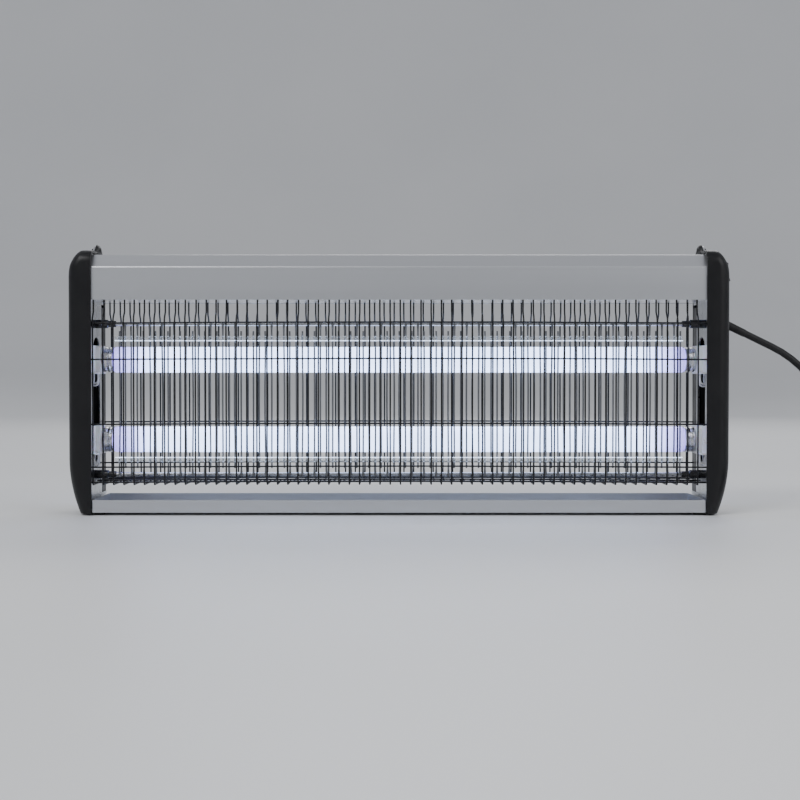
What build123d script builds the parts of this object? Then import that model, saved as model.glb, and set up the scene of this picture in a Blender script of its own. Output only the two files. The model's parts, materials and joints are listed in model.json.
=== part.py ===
from build123d import *
import os
from math import cos, radians, sin, tan

# Electric insect killer with two tubes. Millimetres, +Z up, front towards -Y.
# The origin is on the table, under the middle of the body.

# ---- driving dimensions ----
CAP_FACE_X = 322.5  # outer face of an end cap
RIM_X = 299.0  # inner rim of an end cap, at the front
REAR_RIM_X = 302.4  # the rim is cut back at the rear
HALF_DEPTH = 44.0
CAP_TOP = 258.5
CAP_BOTTOM = 1.5
CAP_WALL = 2.5
CAP_CORNER_R = 16.0
CAP_EDGE_R = 12.0
FLARE_Z = 56.0  # below this the cap's side curves inwards
FLARE_R = 140.0

PLATE_X = 302.6  # inner face of a steel end plate
PLATE_T = 1.4
PLATE_HALF = 40.8
PLATE_REAR = 24.7  # the plate's rear edge below the housing
PLATE_STEP_Z = 208.0
PLATE_BOTTOM = 5.0
EAR_TOP = 265.0
EAR_TIP_R = 6.0
EAR_BASE = 30.0
EAR_HOLE_R = 2.2
EAR_HOLE_Z = 260.8
WEB_TOP = 266.6  # moulded webs of the cap stand on both sides of the steel ear
WEB_INNER_X = 298.4
WEB_OUTER_X = 305.7
WEB_BASE = 257.0
SLOT_W = 35.0  # tall slot that both lamp holders of a side sit in
SLOT_TOP = 174.4
SLOT_BOTTOM = 49.9

HOUSING_HALF = 41.2
HOUSING_BOTTOM = 210.0
BEVEL_Z = 242.0
HOUSING_TOP = 254.5
TOP_HALF = 29.0
SHEET = 1.0
HOUSING_END = 302.4

CHASSIS_Z = 210.4
CHASSIS_T = 1.2
CHASSIS_HALF = 39.9
CHASSIS_FLANGE_TOP = 224.0
CHASSIS_TOP = CHASSIS_Z + CHASSIS_T

WIRE_R = 0.8
PITCH = 10.0
GUARD_WIRES = 60
GUARD_Y = 37.5
GUARD_NECK_Y = 32.0
GUARD_TOP = 214.5
GUARD_NECK_Z = 198.0  # an upright steps outwards below this
GUARD_SHOULDER_Z = 193.0
GUARD_BEND = 3.0
GUARD_RAILS_Z = (187.4, 151.9, 88.5, 46.7, 31.8)  # horizontal wires, top to bottom
GUARD_FLOOR_Z = 29.7
GUARD_FLOOR_Y = (24.5, 1.4)  # lengthwise wires of the turned-in floor
GUARD_END = 302.2
GUARD_HELD_Z = (187.4, 46.7)  # these two reach into holes at each end
GUARD_HELD_END = 303.8
LAID = 2 * WIRE_R + 0.02  # lengthwise wires lie against the inside of the uprights
FRONT_FIRST_X = 1.5 - PITCH * GUARD_WIRES / 2
REAR_FIRST_X = 5.1 - PITCH * GUARD_WIRES / 2

GRID_Y = -20.0
ROD_R = 1.9
ROD_END = 292.0
UPPER_ROD_Z = 187.0
LOWER_ROD_Z = 38.8
COMB_R = 0.85
COMB_PITCH = 12.0
COMB_Y = GRID_Y - ROD_R - COMB_R - 0.02  # spot-welded against the front of the rod
UPPER_COMB = (46, -269.3, 45.0, UPPER_ROD_Z + 1.4)  # wires, first X, low end, high end
LOWER_COMB = (47, -275.3, LOWER_ROD_Z - 1.4, 180.0)
SPACER_Z = (172.4, 53.6)
SPACER_SIZE = (558.0, 5.0, 4.4)
SPACER_HOLE_R = 0.9

INSULATOR_TIP = 279.0
INSULATOR_STEP = 286.0
INSULATOR_END = 312.0

LAMP_Z = {"upper": 151.9, "lower": 72.4}
TUBE_R = 12.75
GLASS_END = 284.5
GLASS_NECK_R = 11.4
GLASS_WALL = 0.8
LAMP_CAP_END = 294.9
PIN_R = 1.18
PIN_SPREAD = 6.35
PIN_END = 302.0
ROTOR_R = 9.0
ROTOR_CAVITY_R = 9.4
ROTOR_FACE = 296.6
ROTOR_BACK = 303.5
HOLDER_FACE = 296.2
HOLDER_BACK = 309.5
HOLDER_HALF = 14.0

TRAY_HALF_X = 298.2
TRAY_FRONT = -42.0
TRAY_REAR = 40.5
TRAY_TOP = 15.1
TRAY_LIP_BOTTOM = 2.9
TRAY_FLOOR_Z = 4.5
TRAY_T = 0.8
RAIL_BOTTOM = 3.1
RAIL_T = 1.1
RAIL_INNER_X = 288.0
FOOT = (12.0, 12.0, RAIL_BOTTOM)

SWITCH_Y = -10.0
SWITCH_Z = 237.0
SWITCH_PAD_X = 323.6
BEZEL_X = 325.0
SWITCH_BACK_X = 309.0
ROCKER_PIVOT_X = 321.5
ROCKER_TILT = 8.0  # degrees either side of the middle

HOUSING_SCREW_Z = 218.0  # the housing is screwed to the chassis at this height, at the rear
HOUSING_SCREW_X = (-240, -80, 80, 240)
SCREW_R = 1.75
SCREW_HOLE_R = 1.8
SCREW_HEAD_R = 3.4
SCREW_HEAD_T = 2.2
SIDES = (-1, 1)
CAP_SCREWS = ((-26.0, 226.0), (26.0, 226.0), (0.0, 34.0))  # Y, Z
TAB_SCREWS = ((-18.0, 218.0), (18.0, 218.0))
RAIL_SCREWS = ((-25.0, 12.0), (15.0, 12.0))

CORD_R = 3.5
CORD_EXIT = (CAP_FACE_X, 0.0, 189.4)
CORD_ROUTE = (  # from the strain relief's end to the top turn of the coil
    (345.9, 0.0, 178.0), (399.8, 0.0, 151.7), (433.3, 0.0, 102.0), (440.8, 0.0, 66.8),
    (441.7, 0.0, 40.9), (453.1, 0.0, 22.0), (471.2, 0.0, 11.5), (492.2, 0.0, 11.5),
)
COIL_CENTRE = (492.2, -45.5)
COIL_INNER = 23.0
COIL_OUTER = 49.0
COIL_BOTTOM = 1.0
COIL_HEIGHT = 14.0

os.makedirs("parts", exist_ok=True)


def save(part, name):
    """Labels a finished piece and writes it."""
    part.label = name
    export_step(part, f"parts/{name}.step")


def mirrored(part):
    """The left-hand twin of a right-hand piece."""
    return part.mirror(Plane.YZ)


def box_between(low, high, mode=Mode.ADD):
    """A box given by its lowest and highest corners."""
    size = [b - a for a, b in zip(low, high)]
    with Locations(tuple((a + b) / 2 for a, b in zip(low, high))):
        Box(*size, mode=mode)


def rod_along_x(x0, x1, y, z, radius, mode=Mode.ADD):
    """A round bar along X."""
    with Locations(((x0 + x1) / 2, y, z)):
        Cylinder(radius, abs(x1 - x0), rotation=(0, 90, 0), mode=mode)


# ---- end caps ----
def cap_form(inset, rim_x):
    """The right end cap's outer form, shrunk by inset on every side but the rim."""
    face = CAP_FACE_X - inset
    top = CAP_TOP - inset
    bottom = CAP_BOTTOM + inset
    flare_r = FLARE_R - inset
    foot_x = face - flare_r + (flare_r**2 - (FLARE_Z - bottom) ** 2) ** 0.5
    with BuildPart() as form:
        with BuildSketch(Plane.XZ):
            with BuildLine():
                Polyline((foot_x, bottom), (rim_x, bottom), (rim_x, top), (face, top), (face, FLARE_Z))
                TangentArc((face, FLARE_Z), (foot_x, bottom), tangent=(0, -1))
            make_face()
            fillet(vertices().sort_by(Axis.X)[-2:].sort_by(Axis.Y)[-1], CAP_CORNER_R - inset)
        extrude(amount=HALF_DEPTH - inset, both=True)
        ends = edges().filter_by(lambda e: abs(abs(e.center().Y) - HALF_DEPTH + inset) < 0.01)
        rounded = ends.filter_by(lambda e: e.center().X > rim_x + 1 and e.center().Z > bottom + 1)
        fillet(rounded, CAP_EDGE_R - inset)
    return form.part


def ear_outline(x, top):
    """The side view of a hanging ear: a rounded tip on a wide base."""
    with BuildSketch(Plane.YZ.offset(x)) as outline:
        with Locations((0, top - EAR_TIP_R)):
            Circle(EAR_TIP_R)
        with Locations((0, HOUSING_TOP - 1)):
            Rectangle(EAR_BASE, 2)
        make_hull()
    return outline.sketch


def ear_webs():
    """Moulded webs beside the steel ear: a bored one on its inner side and two gussets on its outer side."""
    inner_face = PLATE_X - 0.9
    outer_face = PLATE_X + PLATE_T + 0.4
    with BuildPart() as webs:
        with BuildSketch(Plane.XZ):
            with BuildLine():
                Polyline(
                    (WEB_INNER_X, WEB_BASE), (WEB_INNER_X, WEB_TOP - 3.4),
                    (WEB_INNER_X + 1.2, WEB_TOP - 0.9), (WEB_INNER_X + 2.5, WEB_TOP),
                    (inner_face, WEB_TOP - 0.4), (inner_face, WEB_BASE), close=True,
                )
            make_face()
            with BuildLine():
                Polyline(
                    (outer_face, WEB_BASE), (outer_face, WEB_TOP - 4.2), (WEB_OUTER_X, WEB_TOP - 7.2),
                    (WEB_OUTER_X, WEB_BASE), close=True,
                )
            make_face()
        extrude(amount=EAR_BASE / 2, both=True)
        side_view = ear_outline(WEB_INNER_X - 1, WEB_TOP)
        extrude(side_view, amount=WEB_OUTER_X - WEB_INNER_X + 2, mode=Mode.INTERSECT)
        rod_along_x(WEB_INNER_X - 1, inner_face + 1, 0, EAR_HOLE_Z, EAR_HOLE_R, Mode.SUBTRACT)
        box_between((outer_face - 1, -3.4, CAP_TOP), (WEB_OUTER_X + 1, 3.4, WEB_TOP), Mode.SUBTRACT)
    return webs.part


def end_cap():
    """A hollow moulding with screw bosses, open towards the middle of the body."""
    outer = cap_form(0, RIM_X)
    cavity = cap_form(CAP_WALL, RIM_X - 5)
    webs = ear_webs()
    with BuildPart() as cap:
        add(outer)
        add(cavity, mode=Mode.SUBTRACT)
        box_between((PLATE_X - 0.1, 26, 12), (PLATE_X + 2.4, HALF_DEPTH - 1, 205))
        for y, z in CAP_SCREWS:
            rod_along_x(PLATE_X + PLATE_T + 0.2, CAP_FACE_X - 2, y, z, 5.2)
        for y, z in CAP_SCREWS:
            rod_along_x(PLATE_X, CAP_FACE_X + 1, y, z, SCREW_HOLE_R, Mode.SUBTRACT)
            rod_along_x(CAP_FACE_X - 4.4, CAP_FACE_X + 1, y, z, SCREW_HEAD_R + 0.4, Mode.SUBTRACT)
        for z in GUARD_HELD_Z:
            rod_along_x(PLATE_X - 1, GUARD_HELD_END + 0.4, GUARD_Y - LAID, z, WIRE_R + 0.3, Mode.SUBTRACT)
        add(webs)
        slot_low = (PLATE_X - 0.4, -EAR_BASE / 2 - 1, CAP_TOP - 6)
        slot_high = (PLATE_X + PLATE_T + 0.4, EAR_BASE / 2 + 1, WEB_TOP + 1)
        box_between(slot_low, slot_high, Mode.SUBTRACT)
        rear_top = (REAR_RIM_X, HALF_DEPTH + 1, CAP_TOP + 1)
        box_between((RIM_X - 1, EAR_BASE / 2, BEVEL_Z), rear_top, Mode.SUBTRACT)
        box_between((RIM_X - 1, 30, -1), (REAR_RIM_X, HALF_DEPTH + 1, CAP_TOP + 1), Mode.SUBTRACT)
        box_between((RIM_X - 1, CAP_WALL - HALF_DEPTH, -1), (PLATE_X, HALF_DEPTH + 1, 18), Mode.SUBTRACT)
    return cap.part


left_cap = mirrored(end_cap())
save(left_cap, "end_cap_left")

relief_end = Vector(*CORD_ROUTE[0])
relief_length = (relief_end - Vector(*CORD_EXIT)).length
cord_direction = (Vector(*CORD_ROUTE[1]) - relief_end).normalized()
cord_exit = relief_end - cord_direction * relief_length
cord_exit_plane = Plane(origin=cord_exit, x_dir=(0, 1, 0), z_dir=cord_direction)

right_form = end_cap()
with BuildPart() as end_cap_right:
    add(right_form)
    pad_back = CAP_FACE_X - 12
    pad_y = (SWITCH_Y - 10, SWITCH_Y + 10)
    hole_y = (SWITCH_Y - 6.7, SWITCH_Y + 6.7)
    wall_back = CAP_FACE_X - CAP_WALL
    box_between((CAP_FACE_X - 9, pad_y[0], SWITCH_Z - 12.5), (SWITCH_PAD_X, pad_y[1], SWITCH_Z + 10.6))
    box_between((pad_back, pad_y[0], SWITCH_Z - 12.4), (wall_back, pad_y[1], SWITCH_Z + 10.4), Mode.SUBTRACT)
    box_between((pad_back, hole_y[0], SWITCH_Z - 9.8), (BEZEL_X, hole_y[1], SWITCH_Z + 9.8), Mode.SUBTRACT)
    with BuildSketch(cord_exit_plane):
        Circle(4.8)
    extrude(amount=12, both=True, mode=Mode.SUBTRACT)
save(end_cap_right.part, "end_cap_right")


# ---- steel end plates ----
def end_plate():
    """The right end plate, with its hanging ear, holder slot and screw holes."""
    with BuildPart() as plate:
        with BuildSketch(Plane.YZ.offset(PLATE_X)):
            with BuildLine():
                Polyline(
                    (-PLATE_HALF, PLATE_BOTTOM), (PLATE_REAR, PLATE_BOTTOM), (PLATE_REAR, PLATE_STEP_Z),
                    (PLATE_HALF, PLATE_STEP_Z), (PLATE_HALF, BEVEL_Z), (TOP_HALF, HOUSING_TOP),
                    (-TOP_HALF, HOUSING_TOP), (-PLATE_HALF, BEVEL_Z), close=True,
                )
            make_face()
        extrude(amount=PLATE_T)
        extrude(ear_outline(PLATE_X, EAR_TOP), amount=PLATE_T)
        with BuildSketch(Plane.YZ.offset(PLATE_X)):
            with Locations((0, (SLOT_TOP + SLOT_BOTTOM) / 2)):
                SlotOverall(SLOT_TOP - SLOT_BOTTOM, SLOT_W, rotation=90)
            with Locations((0, EAR_HOLE_Z)):
                Circle(EAR_HOLE_R)
            with Locations(*CAP_SCREWS, *TAB_SCREWS, *RAIL_SCREWS):
                Circle(SCREW_HOLE_R)
            with Locations((GRID_Y, UPPER_ROD_Z), (GRID_Y, LOWER_ROD_Z)):
                Circle(4.0)
            with Locations((0, 218)):
                SlotOverall(20, 9)
            with Locations((16, 232)):
                SlotOverall(16, 9)
            with Locations(*((LAID - GUARD_Y, z) for z in GUARD_HELD_Z)):
                Circle(WIRE_R + 0.3)
        extrude(amount=PLATE_T, mode=Mode.SUBTRACT)
    return plate.part


right_plate = end_plate()
save(mirrored(right_plate), "end_plate_left")
save(right_plate, "end_plate_right")

# ---- top housing and the chassis under it ----
with BuildPart() as top_housing:
    with BuildSketch(Plane.YZ.offset(-HOUSING_END)):
        with BuildLine():
            Polyline(
                (-HOUSING_HALF, HOUSING_BOTTOM), (-HOUSING_HALF, BEVEL_Z), (-TOP_HALF, HOUSING_TOP),
                (TOP_HALF, HOUSING_TOP), (HOUSING_HALF, BEVEL_Z), (HOUSING_HALF, HOUSING_BOTTOM), close=True,
            )
        make_face()
        fillet(vertices().group_by(Axis.Y)[1:], 3)
        offset(amount=-SHEET, mode=Mode.SUBTRACT)
        with Locations((0, HOUSING_BOTTOM)):
            Rectangle(2 * (HOUSING_HALF - SHEET), 4, mode=Mode.SUBTRACT)
    extrude(amount=2 * HOUSING_END)
    with Locations(*((x, HOUSING_HALF, HOUSING_SCREW_Z) for x in HOUSING_SCREW_X)):
        Cylinder(SCREW_HOLE_R, 4, rotation=(90, 0, 0), mode=Mode.SUBTRACT)
save(top_housing.part, "top_housing")

with BuildPart() as chassis_plate:
    box_between((-HOUSING_END, -CHASSIS_HALF, CHASSIS_Z), (HOUSING_END, CHASSIS_HALF, CHASSIS_TOP))
    for side in SIDES:
        flange = sorted((side * CHASSIS_HALF, side * (CHASSIS_HALF - CHASSIS_T)))
        box_between((-HOUSING_END, flange[0], CHASSIS_Z), (HOUSING_END, flange[1], CHASSIS_FLANGE_TOP))
        tab = sorted((side * HOUSING_END, side * (HOUSING_END - CHASSIS_T)))
        for tab_y in (-30, 12):
            box_between((tab[0], tab_y, CHASSIS_Z), (tab[1], tab_y + 18, CHASSIS_FLANGE_TOP))
    for first_x, y in ((FRONT_FIRST_X, -GUARD_NECK_Y), (REAR_FIRST_X, GUARD_NECK_Y)):
        with Locations(*((first_x + PITCH * i, y, CHASSIS_Z) for i in range(GUARD_WIRES))):
            Cylinder(WIRE_R + 0.3, 4, mode=Mode.SUBTRACT)
    with Locations(*((x, CHASSIS_HALF, HOUSING_SCREW_Z) for x in HOUSING_SCREW_X)):
        Cylinder(SCREW_HOLE_R, 4, rotation=(90, 0, 0), mode=Mode.SUBTRACT)
    for y, z in TAB_SCREWS:
        rod_along_x(-HOUSING_END - 1, HOUSING_END + 1, y, z, SCREW_HOLE_R, Mode.SUBTRACT)
save(chassis_plate.part, "chassis_plate")


# ---- wire guards ----
def guard(side, first_x):
    """One guard: bent upright wires with lengthwise wires laid against them. side is -1 at the front."""
    out, neck = side * GUARD_Y, side * GUARD_NECK_Y
    with BuildPart() as upright:
        with BuildLine() as path:
            FilletPolyline(
                (first_x, neck, GUARD_TOP), (first_x, neck, GUARD_NECK_Z), (first_x, out, GUARD_SHOULDER_Z),
                (first_x, out, GUARD_FLOOR_Z), (first_x, side * GUARD_FLOOR_Y[-1], GUARD_FLOOR_Z),
                radius=[GUARD_BEND, GUARD_BEND, 2.0],
            )
        with BuildSketch(Plane(origin=(first_x, neck, GUARD_TOP), z_dir=(0, 0, -1))):
            Circle(WIRE_R)
        sweep(path=path.wire())
    uprights = [Pos(PITCH * i, 0, 0) * upright.part.solid() for i in range(GUARD_WIRES)]
    inside = out - side * LAID
    places = [(inside, z) for z in GUARD_RAILS_Z] + [(side * y, GUARD_FLOOR_Z + LAID) for y in GUARD_FLOOR_Y]
    lengthwise = []
    for y, z in places:
        end = GUARD_HELD_END if z in GUARD_HELD_Z else GUARD_END
        lengthwise.append(Pos(0, y, z) * Rot(0, 90, 0) * Cylinder(WIRE_R, 2 * end).solid())
    return Compound(children=uprights + lengthwise)


save(guard(-1, FRONT_FIRST_X), "front_guard")
save(guard(1, REAR_FIRST_X), "rear_guard")


# ---- killing grid ----
def electrode(rod_z, comb):
    """A rod with a comb of wires welded against its front."""
    count, first_x, low, high = comb
    rod = Pos(0, GRID_Y, rod_z) * Rot(0, 90, 0) * Cylinder(ROD_R, 2 * ROD_END).solid()
    wire = Pos(first_x, COMB_Y, (low + high) / 2) * Cylinder(COMB_R, high - low).solid()
    return Compound(children=[rod] + [Pos(COMB_PITCH * i, 0, 0) * wire for i in range(count)])


def spacer(z):
    """An insulating strip that both combs pass through."""
    with BuildPart() as strip:
        with Locations((0, COMB_Y, z)):
            Box(*SPACER_SIZE)
        for count, first_x, _, _ in (UPPER_COMB, LOWER_COMB):
            with Locations(*((first_x + COMB_PITCH * i, COMB_Y, z) for i in range(count))):
                Cylinder(SPACER_HOLE_R, SPACER_SIZE[2] + 2, mode=Mode.SUBTRACT)
    return strip.part


save(electrode(UPPER_ROD_Z, UPPER_COMB), "electrode_upper")
save(electrode(LOWER_ROD_Z, LOWER_COMB), "electrode_lower")
save(spacer(SPACER_Z[0]), "electrode_spacer_upper")
save(spacer(SPACER_Z[1]), "electrode_spacer_lower")


def insulator(rod_z):
    """A stepped bush through the right end plate, with a blind hole for the rod's end."""
    plate_in = PLATE_X - 0.1
    plate_out = PLATE_X + PLATE_T + 0.1
    with BuildPart() as bush:
        with BuildSketch(Plane.XZ.offset(-GRID_Y)):
            with BuildLine():
                Polyline(
                    (INSULATOR_TIP, rod_z), (INSULATOR_TIP, rod_z + 3.1), (INSULATOR_STEP, rod_z + 3.1),
                    (INSULATOR_STEP + 1, rod_z + 4.2), (plate_in, rod_z + 4.2), (plate_in, rod_z + 3.8),
                    (plate_out, rod_z + 3.8), (plate_out, rod_z + 5.5), (plate_out + 1.9, rod_z + 5.5),
                    (plate_out + 2.9, rod_z + 3), (INSULATOR_END, rod_z + 3), (INSULATOR_END, rod_z),
                    close=True,
                )
            make_face()
        revolve(axis=Axis((0, GRID_Y, rod_z), (1, 0, 0)))
        rod_along_x(INSULATOR_TIP - 1, ROD_END + 1, GRID_Y, rod_z, ROD_R + 0.05, Mode.SUBTRACT)
    return bush.part


for row, rod_z in (("upper", UPPER_ROD_Z), ("lower", LOWER_ROD_Z)):
    bush = insulator(rod_z)
    save(mirrored(bush), f"insulator_{row}_left")
    save(bush, f"insulator_{row}_right")


# ---- lamps and their holders ----
def holder(z):
    """A right-hand lamp holder: flange, raised face, rotor cavity and rear entry slot."""
    low, high = z - HOLDER_HALF, z + HOLDER_HALF
    with BuildPart() as body:
        box_between((HOLDER_FACE, -15, low), (PLATE_X - 0.2, 15, high))
        fillet(edges().filter_by(Axis.X), 4)
        box_between((PLATE_X - 2.2, -34, low), (PLATE_X - 0.2, 17, high))
        box_between((HOLDER_FACE + 0.4, -34, low), (PLATE_X - 0.2, 17, low + 1.4))
        box_between((PLATE_X - 3.6, -31, z - 2), (PLATE_X - 2, -27, z + 2))
        box_between((PLATE_X - 0.4, -14, low + 2), (HOLDER_BACK, 14, high - 2))
        rod_along_x(HOLDER_FACE - 1, ROTOR_BACK + 0.4, 0, z, ROTOR_CAVITY_R, Mode.SUBTRACT)
        box_between((HOLDER_FACE - 1, 0, z - 1.5), (PIN_END + 0.5, 18, z + 1.5), Mode.SUBTRACT)
    return body.part


def lamp_glass(z):
    """The glass tube, open at the necks that the metal caps close."""
    with BuildPart() as glass:
        rod_along_x(-GLASS_END, GLASS_END, 0, z, TUBE_R)
        fillet(edges().filter_by(GeomType.CIRCLE), 2.4)
        rod_along_x(-GLASS_END - 3, GLASS_END + 3, 0, z, GLASS_NECK_R - 1)
        rod_along_x(-GLASS_END + 2.6, GLASS_END - 2.6, 0, z, TUBE_R - GLASS_WALL, Mode.SUBTRACT)
        rod_along_x(-GLASS_END - 4, GLASS_END + 4, 0, z, GLASS_NECK_R - 1 - GLASS_WALL, Mode.SUBTRACT)
    return glass.part


def lamp_caps(z):
    """The tube's two metal end caps."""
    with BuildPart() as caps:
        for side in SIDES:
            rod_along_x(side * (GLASS_END + 0.2), side * LAMP_CAP_END, 0, z, TUBE_R - 0.15)
        rims = edges().filter_by(GeomType.CIRCLE).filter_by(lambda e: abs(e.center().X) > LAMP_CAP_END - 0.1)
        fillet(rims, 1)
        for side in SIDES:
            hollow = (side * (GLASS_END + 0.1), side * (LAMP_CAP_END - 1.2))
            rod_along_x(*hollow, 0, z, GLASS_NECK_R, Mode.SUBTRACT)
            for spread in (-PIN_SPREAD, PIN_SPREAD):
                hole = (side * (GLASS_END + 6), side * (LAMP_CAP_END + 1))
                rod_along_x(*hole, 0, z + spread, PIN_R + 0.02, Mode.SUBTRACT)
    return caps.part


def lamp_pins(z):
    """Two contact pins at each end, standing one above the other when the tube is locked."""
    with BuildPart() as pins:
        for side in SIDES:
            for spread in (-PIN_SPREAD, PIN_SPREAD):
                rod_along_x(side * (LAMP_CAP_END - 2), side * PIN_END, 0, z + spread, PIN_R)
        tips = edges().filter_by(GeomType.CIRCLE).filter_by(lambda e: abs(e.center().X) > PIN_END - 0.1)
        fillet(tips, 0.5)
    return pins.part


def lamp_rotors(z):
    """The slotted rotors that turn with the tube inside its two holders."""
    with BuildPart() as rotors:
        for side in SIDES:
            rod_along_x(side * ROTOR_FACE, side * ROTOR_BACK, 0, z, ROTOR_R)
            slot = sorted((side * (ROTOR_FACE - 1), side * (PIN_END + 0.4)))
            box_between((slot[0], -1.3, z - ROTOR_R - 1), (slot[1], 1.3, z + ROTOR_R + 1), Mode.SUBTRACT)
    return rotors.part


for row, lamp_z in LAMP_Z.items():
    right_holder = holder(lamp_z)
    save(mirrored(right_holder), f"lamp_holder_{row}_left")
    save(right_holder, f"lamp_holder_{row}_right")
    save(lamp_glass(lamp_z), f"lamp_glass_{row}")
    save(lamp_caps(lamp_z), f"lamp_caps_{row}")
    save(lamp_pins(lamp_z), f"lamp_pins_{row}")
    save(lamp_rotors(lamp_z), f"lamp_rotors_{row}")

# ---- collection tray, its rails and the feet ----
with BuildPart() as collection_tray:
    floor_top = TRAY_FLOOR_Z + TRAY_T
    box_between((-TRAY_HALF_X, TRAY_FRONT, TRAY_FLOOR_Z), (TRAY_HALF_X, TRAY_REAR, TRAY_TOP))
    box_between(
        (-TRAY_HALF_X + TRAY_T, TRAY_FRONT + TRAY_T, floor_top),
        (TRAY_HALF_X - TRAY_T, TRAY_REAR - TRAY_T, TRAY_TOP + 1),
        Mode.SUBTRACT,
    )
    box_between((-TRAY_HALF_X, TRAY_FRONT, TRAY_LIP_BOTTOM), (TRAY_HALF_X, TRAY_FRONT + TRAY_T, floor_top))
save(collection_tray.part, "collection_tray")


def tray_rail():
    """An angle that carries one end of the tray."""
    with BuildPart() as rail:
        front = 0.2 - PLATE_HALF
        back_x = PLATE_X - 0.2
        box_between((RAIL_INNER_X, front, RAIL_BOTTOM), (back_x, PLATE_HALF, RAIL_BOTTOM + RAIL_T))
        box_between((back_x - RAIL_T, front, RAIL_BOTTOM), (back_x, PLATE_HALF, 17.5))
        for y, z in RAIL_SCREWS:
            rod_along_x(RAIL_INNER_X, PLATE_X + 1, y, z, SCREW_HOLE_R, Mode.SUBTRACT)
    return rail.part


right_rail = tray_rail()
save(mirrored(right_rail), "tray_rail_left")
save(right_rail, "tray_rail_right")

with BuildPart() as feet:
    with Locations(*((x, y, FOOT[2] / 2) for x in (-295, 295) for y in (-30, 30))):
        Box(*FOOT)
    fillet(edges().filter_by(Axis.Z), 3)
save(feet.part, "feet")

# ---- rocker switch ----
with BuildPart() as switch_body:
    body_y, bezel_y, well_y = ((SWITCH_Y - half, SWITCH_Y + half) for half in (6.5, 7.5, 5.6))
    well_floor = ROCKER_PIVOT_X - 5.5
    box_between((SWITCH_BACK_X, body_y[0], SWITCH_Z - 9.6), (SWITCH_PAD_X + 0.2, body_y[1], SWITCH_Z + 9.6))
    box_between((SWITCH_PAD_X, bezel_y[0], SWITCH_Z - 10.3), (BEZEL_X, bezel_y[1], SWITCH_Z + 10.3))
    well_top = (BEZEL_X + 1, well_y[1], SWITCH_Z + 9.5)
    box_between((well_floor, well_y[0], SWITCH_Z - 9.5), well_top, Mode.SUBTRACT)
    with Locations((ROCKER_PIVOT_X, SWITCH_Y, SWITCH_Z)):
        Cylinder(1.25, 12.4, rotation=(90, 0, 0), mode=Mode.SUBTRACT)
save(switch_body.part, "switch_body")

tilt = radians(ROCKER_TILT)
pivot = (ROCKER_PIVOT_X, SWITCH_Y, SWITCH_Z)
rocker_plane = Plane(origin=pivot, x_dir=(cos(tilt), 0, sin(tilt)), z_dir=(0, -1, 0))
with BuildPart() as switch_rocker:
    with BuildSketch(rocker_plane):
        with BuildLine():
            Polyline(
                (-2.2, -2.5), (1.5, -8.0), (5.1, -8.4), (3.7, 0), (5.1, 8.4), (1.5, 8.0), (-2.2, 2.5),
                close=True,
            )
        make_face()
        fillet(vertices().sort_by(Axis.X)[-2:], 0.8)
    extrude(amount=5.4, both=True)
    with Locations(pivot):
        Cylinder(1.2, 12.2, rotation=(90, 0, 0))
save(switch_rocker.part, "switch_rocker")

with BuildPart() as switch_terminals:
    with Locations(*((SWITCH_BACK_X - 2.2, SWITCH_Y, SWITCH_Z + dz) for dz in (-6, 0, 6))):
        Box(4.4, 4.8, 0.8)
save(switch_terminals.part, "switch_terminals")

# ---- electrical gear inside the housing ----
DECK = CHASSIS_TOP
BALLAST_X = {"left": -221, "right": -15}
STARTER_SPOTS = ((-134, -14), (-134, 14))
STARTER_R = 10.75
BOARD_TOP = DECK + 7.6
BOARD_T = 1.6
CAPACITOR_X = (140, 158, 176, 194)
TERMINAL_X0 = 240
FUSE_Y = 13
FUSE_Z = DECK + 9


def ballast(x):
    """A choke: laminated core on a fixing strip."""
    with BuildPart() as choke:
        box_between((x - 75, -20, DECK), (x + 75, 20, DECK + 1.2))
        box_between((x - 42, -17, DECK), (x + 42, 17, DECK + 26))
        fillet(edges().filter_by(Axis.X).group_by(Axis.Z)[-1], 2)
        with Locations((x - 68, 0, DECK), (x + 68, 0, DECK)):
            Cylinder(2.2, 6, mode=Mode.SUBTRACT)
    return choke.part


save(ballast(BALLAST_X["left"]), "ballast_left")
save(ballast(BALLAST_X["right"]), "ballast_right")

with BuildPart() as starter_sockets:
    for x, y in STARTER_SPOTS:
        box_between((x - 8, y - 12.5, DECK), (x - 2, y + 12.5, DECK + 25))
save(starter_sockets.part, "starter_sockets")

with BuildPart() as starters:
    for x, y in STARTER_SPOTS:
        rod_along_x(x - 2, x + 24, y, DECK + STARTER_R + 2.25, STARTER_R)
save(starters.part, "starters")

with BuildPart() as hv_transformer:
    box_between((62, -20, DECK), (110, 20, DECK + 32))
    box_between((68, -26, DECK + 6), (104, 26, DECK + 27))
    fillet(edges().filter_by(Axis.X).filter_by(lambda e: abs(e.center().Y) > 25), 3)
save(hv_transformer.part, "hv_transformer")

board_bottom = BOARD_TOP - BOARD_T
with BuildPart() as multiplier_board:
    box_between((130, -26, board_bottom), (214, 26, BOARD_TOP))
    with Locations(*((x, y, (DECK + board_bottom) / 2) for x in (134, 210) for y in (-22, 22))):
        Cylinder(2.5, board_bottom - DECK)
save(multiplier_board.part, "multiplier_board")

with BuildPart() as hv_capacitors:
    for x in CAPACITOR_X:
        box_between((x, -18, BOARD_TOP), (x + 8, 4, BOARD_TOP + 16))
    fillet(edges().filter_by(Axis.Z), 2)
save(hv_capacitors.part, "hv_capacitors")

with BuildPart() as terminal_block:
    box_between((TERMINAL_X0, -24, DECK), (TERMINAL_X0 + 42, -6, DECK + 15))
    with Locations(*((TERMINAL_X0 + 6 + 10 * i, -15, DECK + 15) for i in range(4))):
        Cylinder(2.6, 12, mode=Mode.SUBTRACT)
save(terminal_block.part, "terminal_block")

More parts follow.
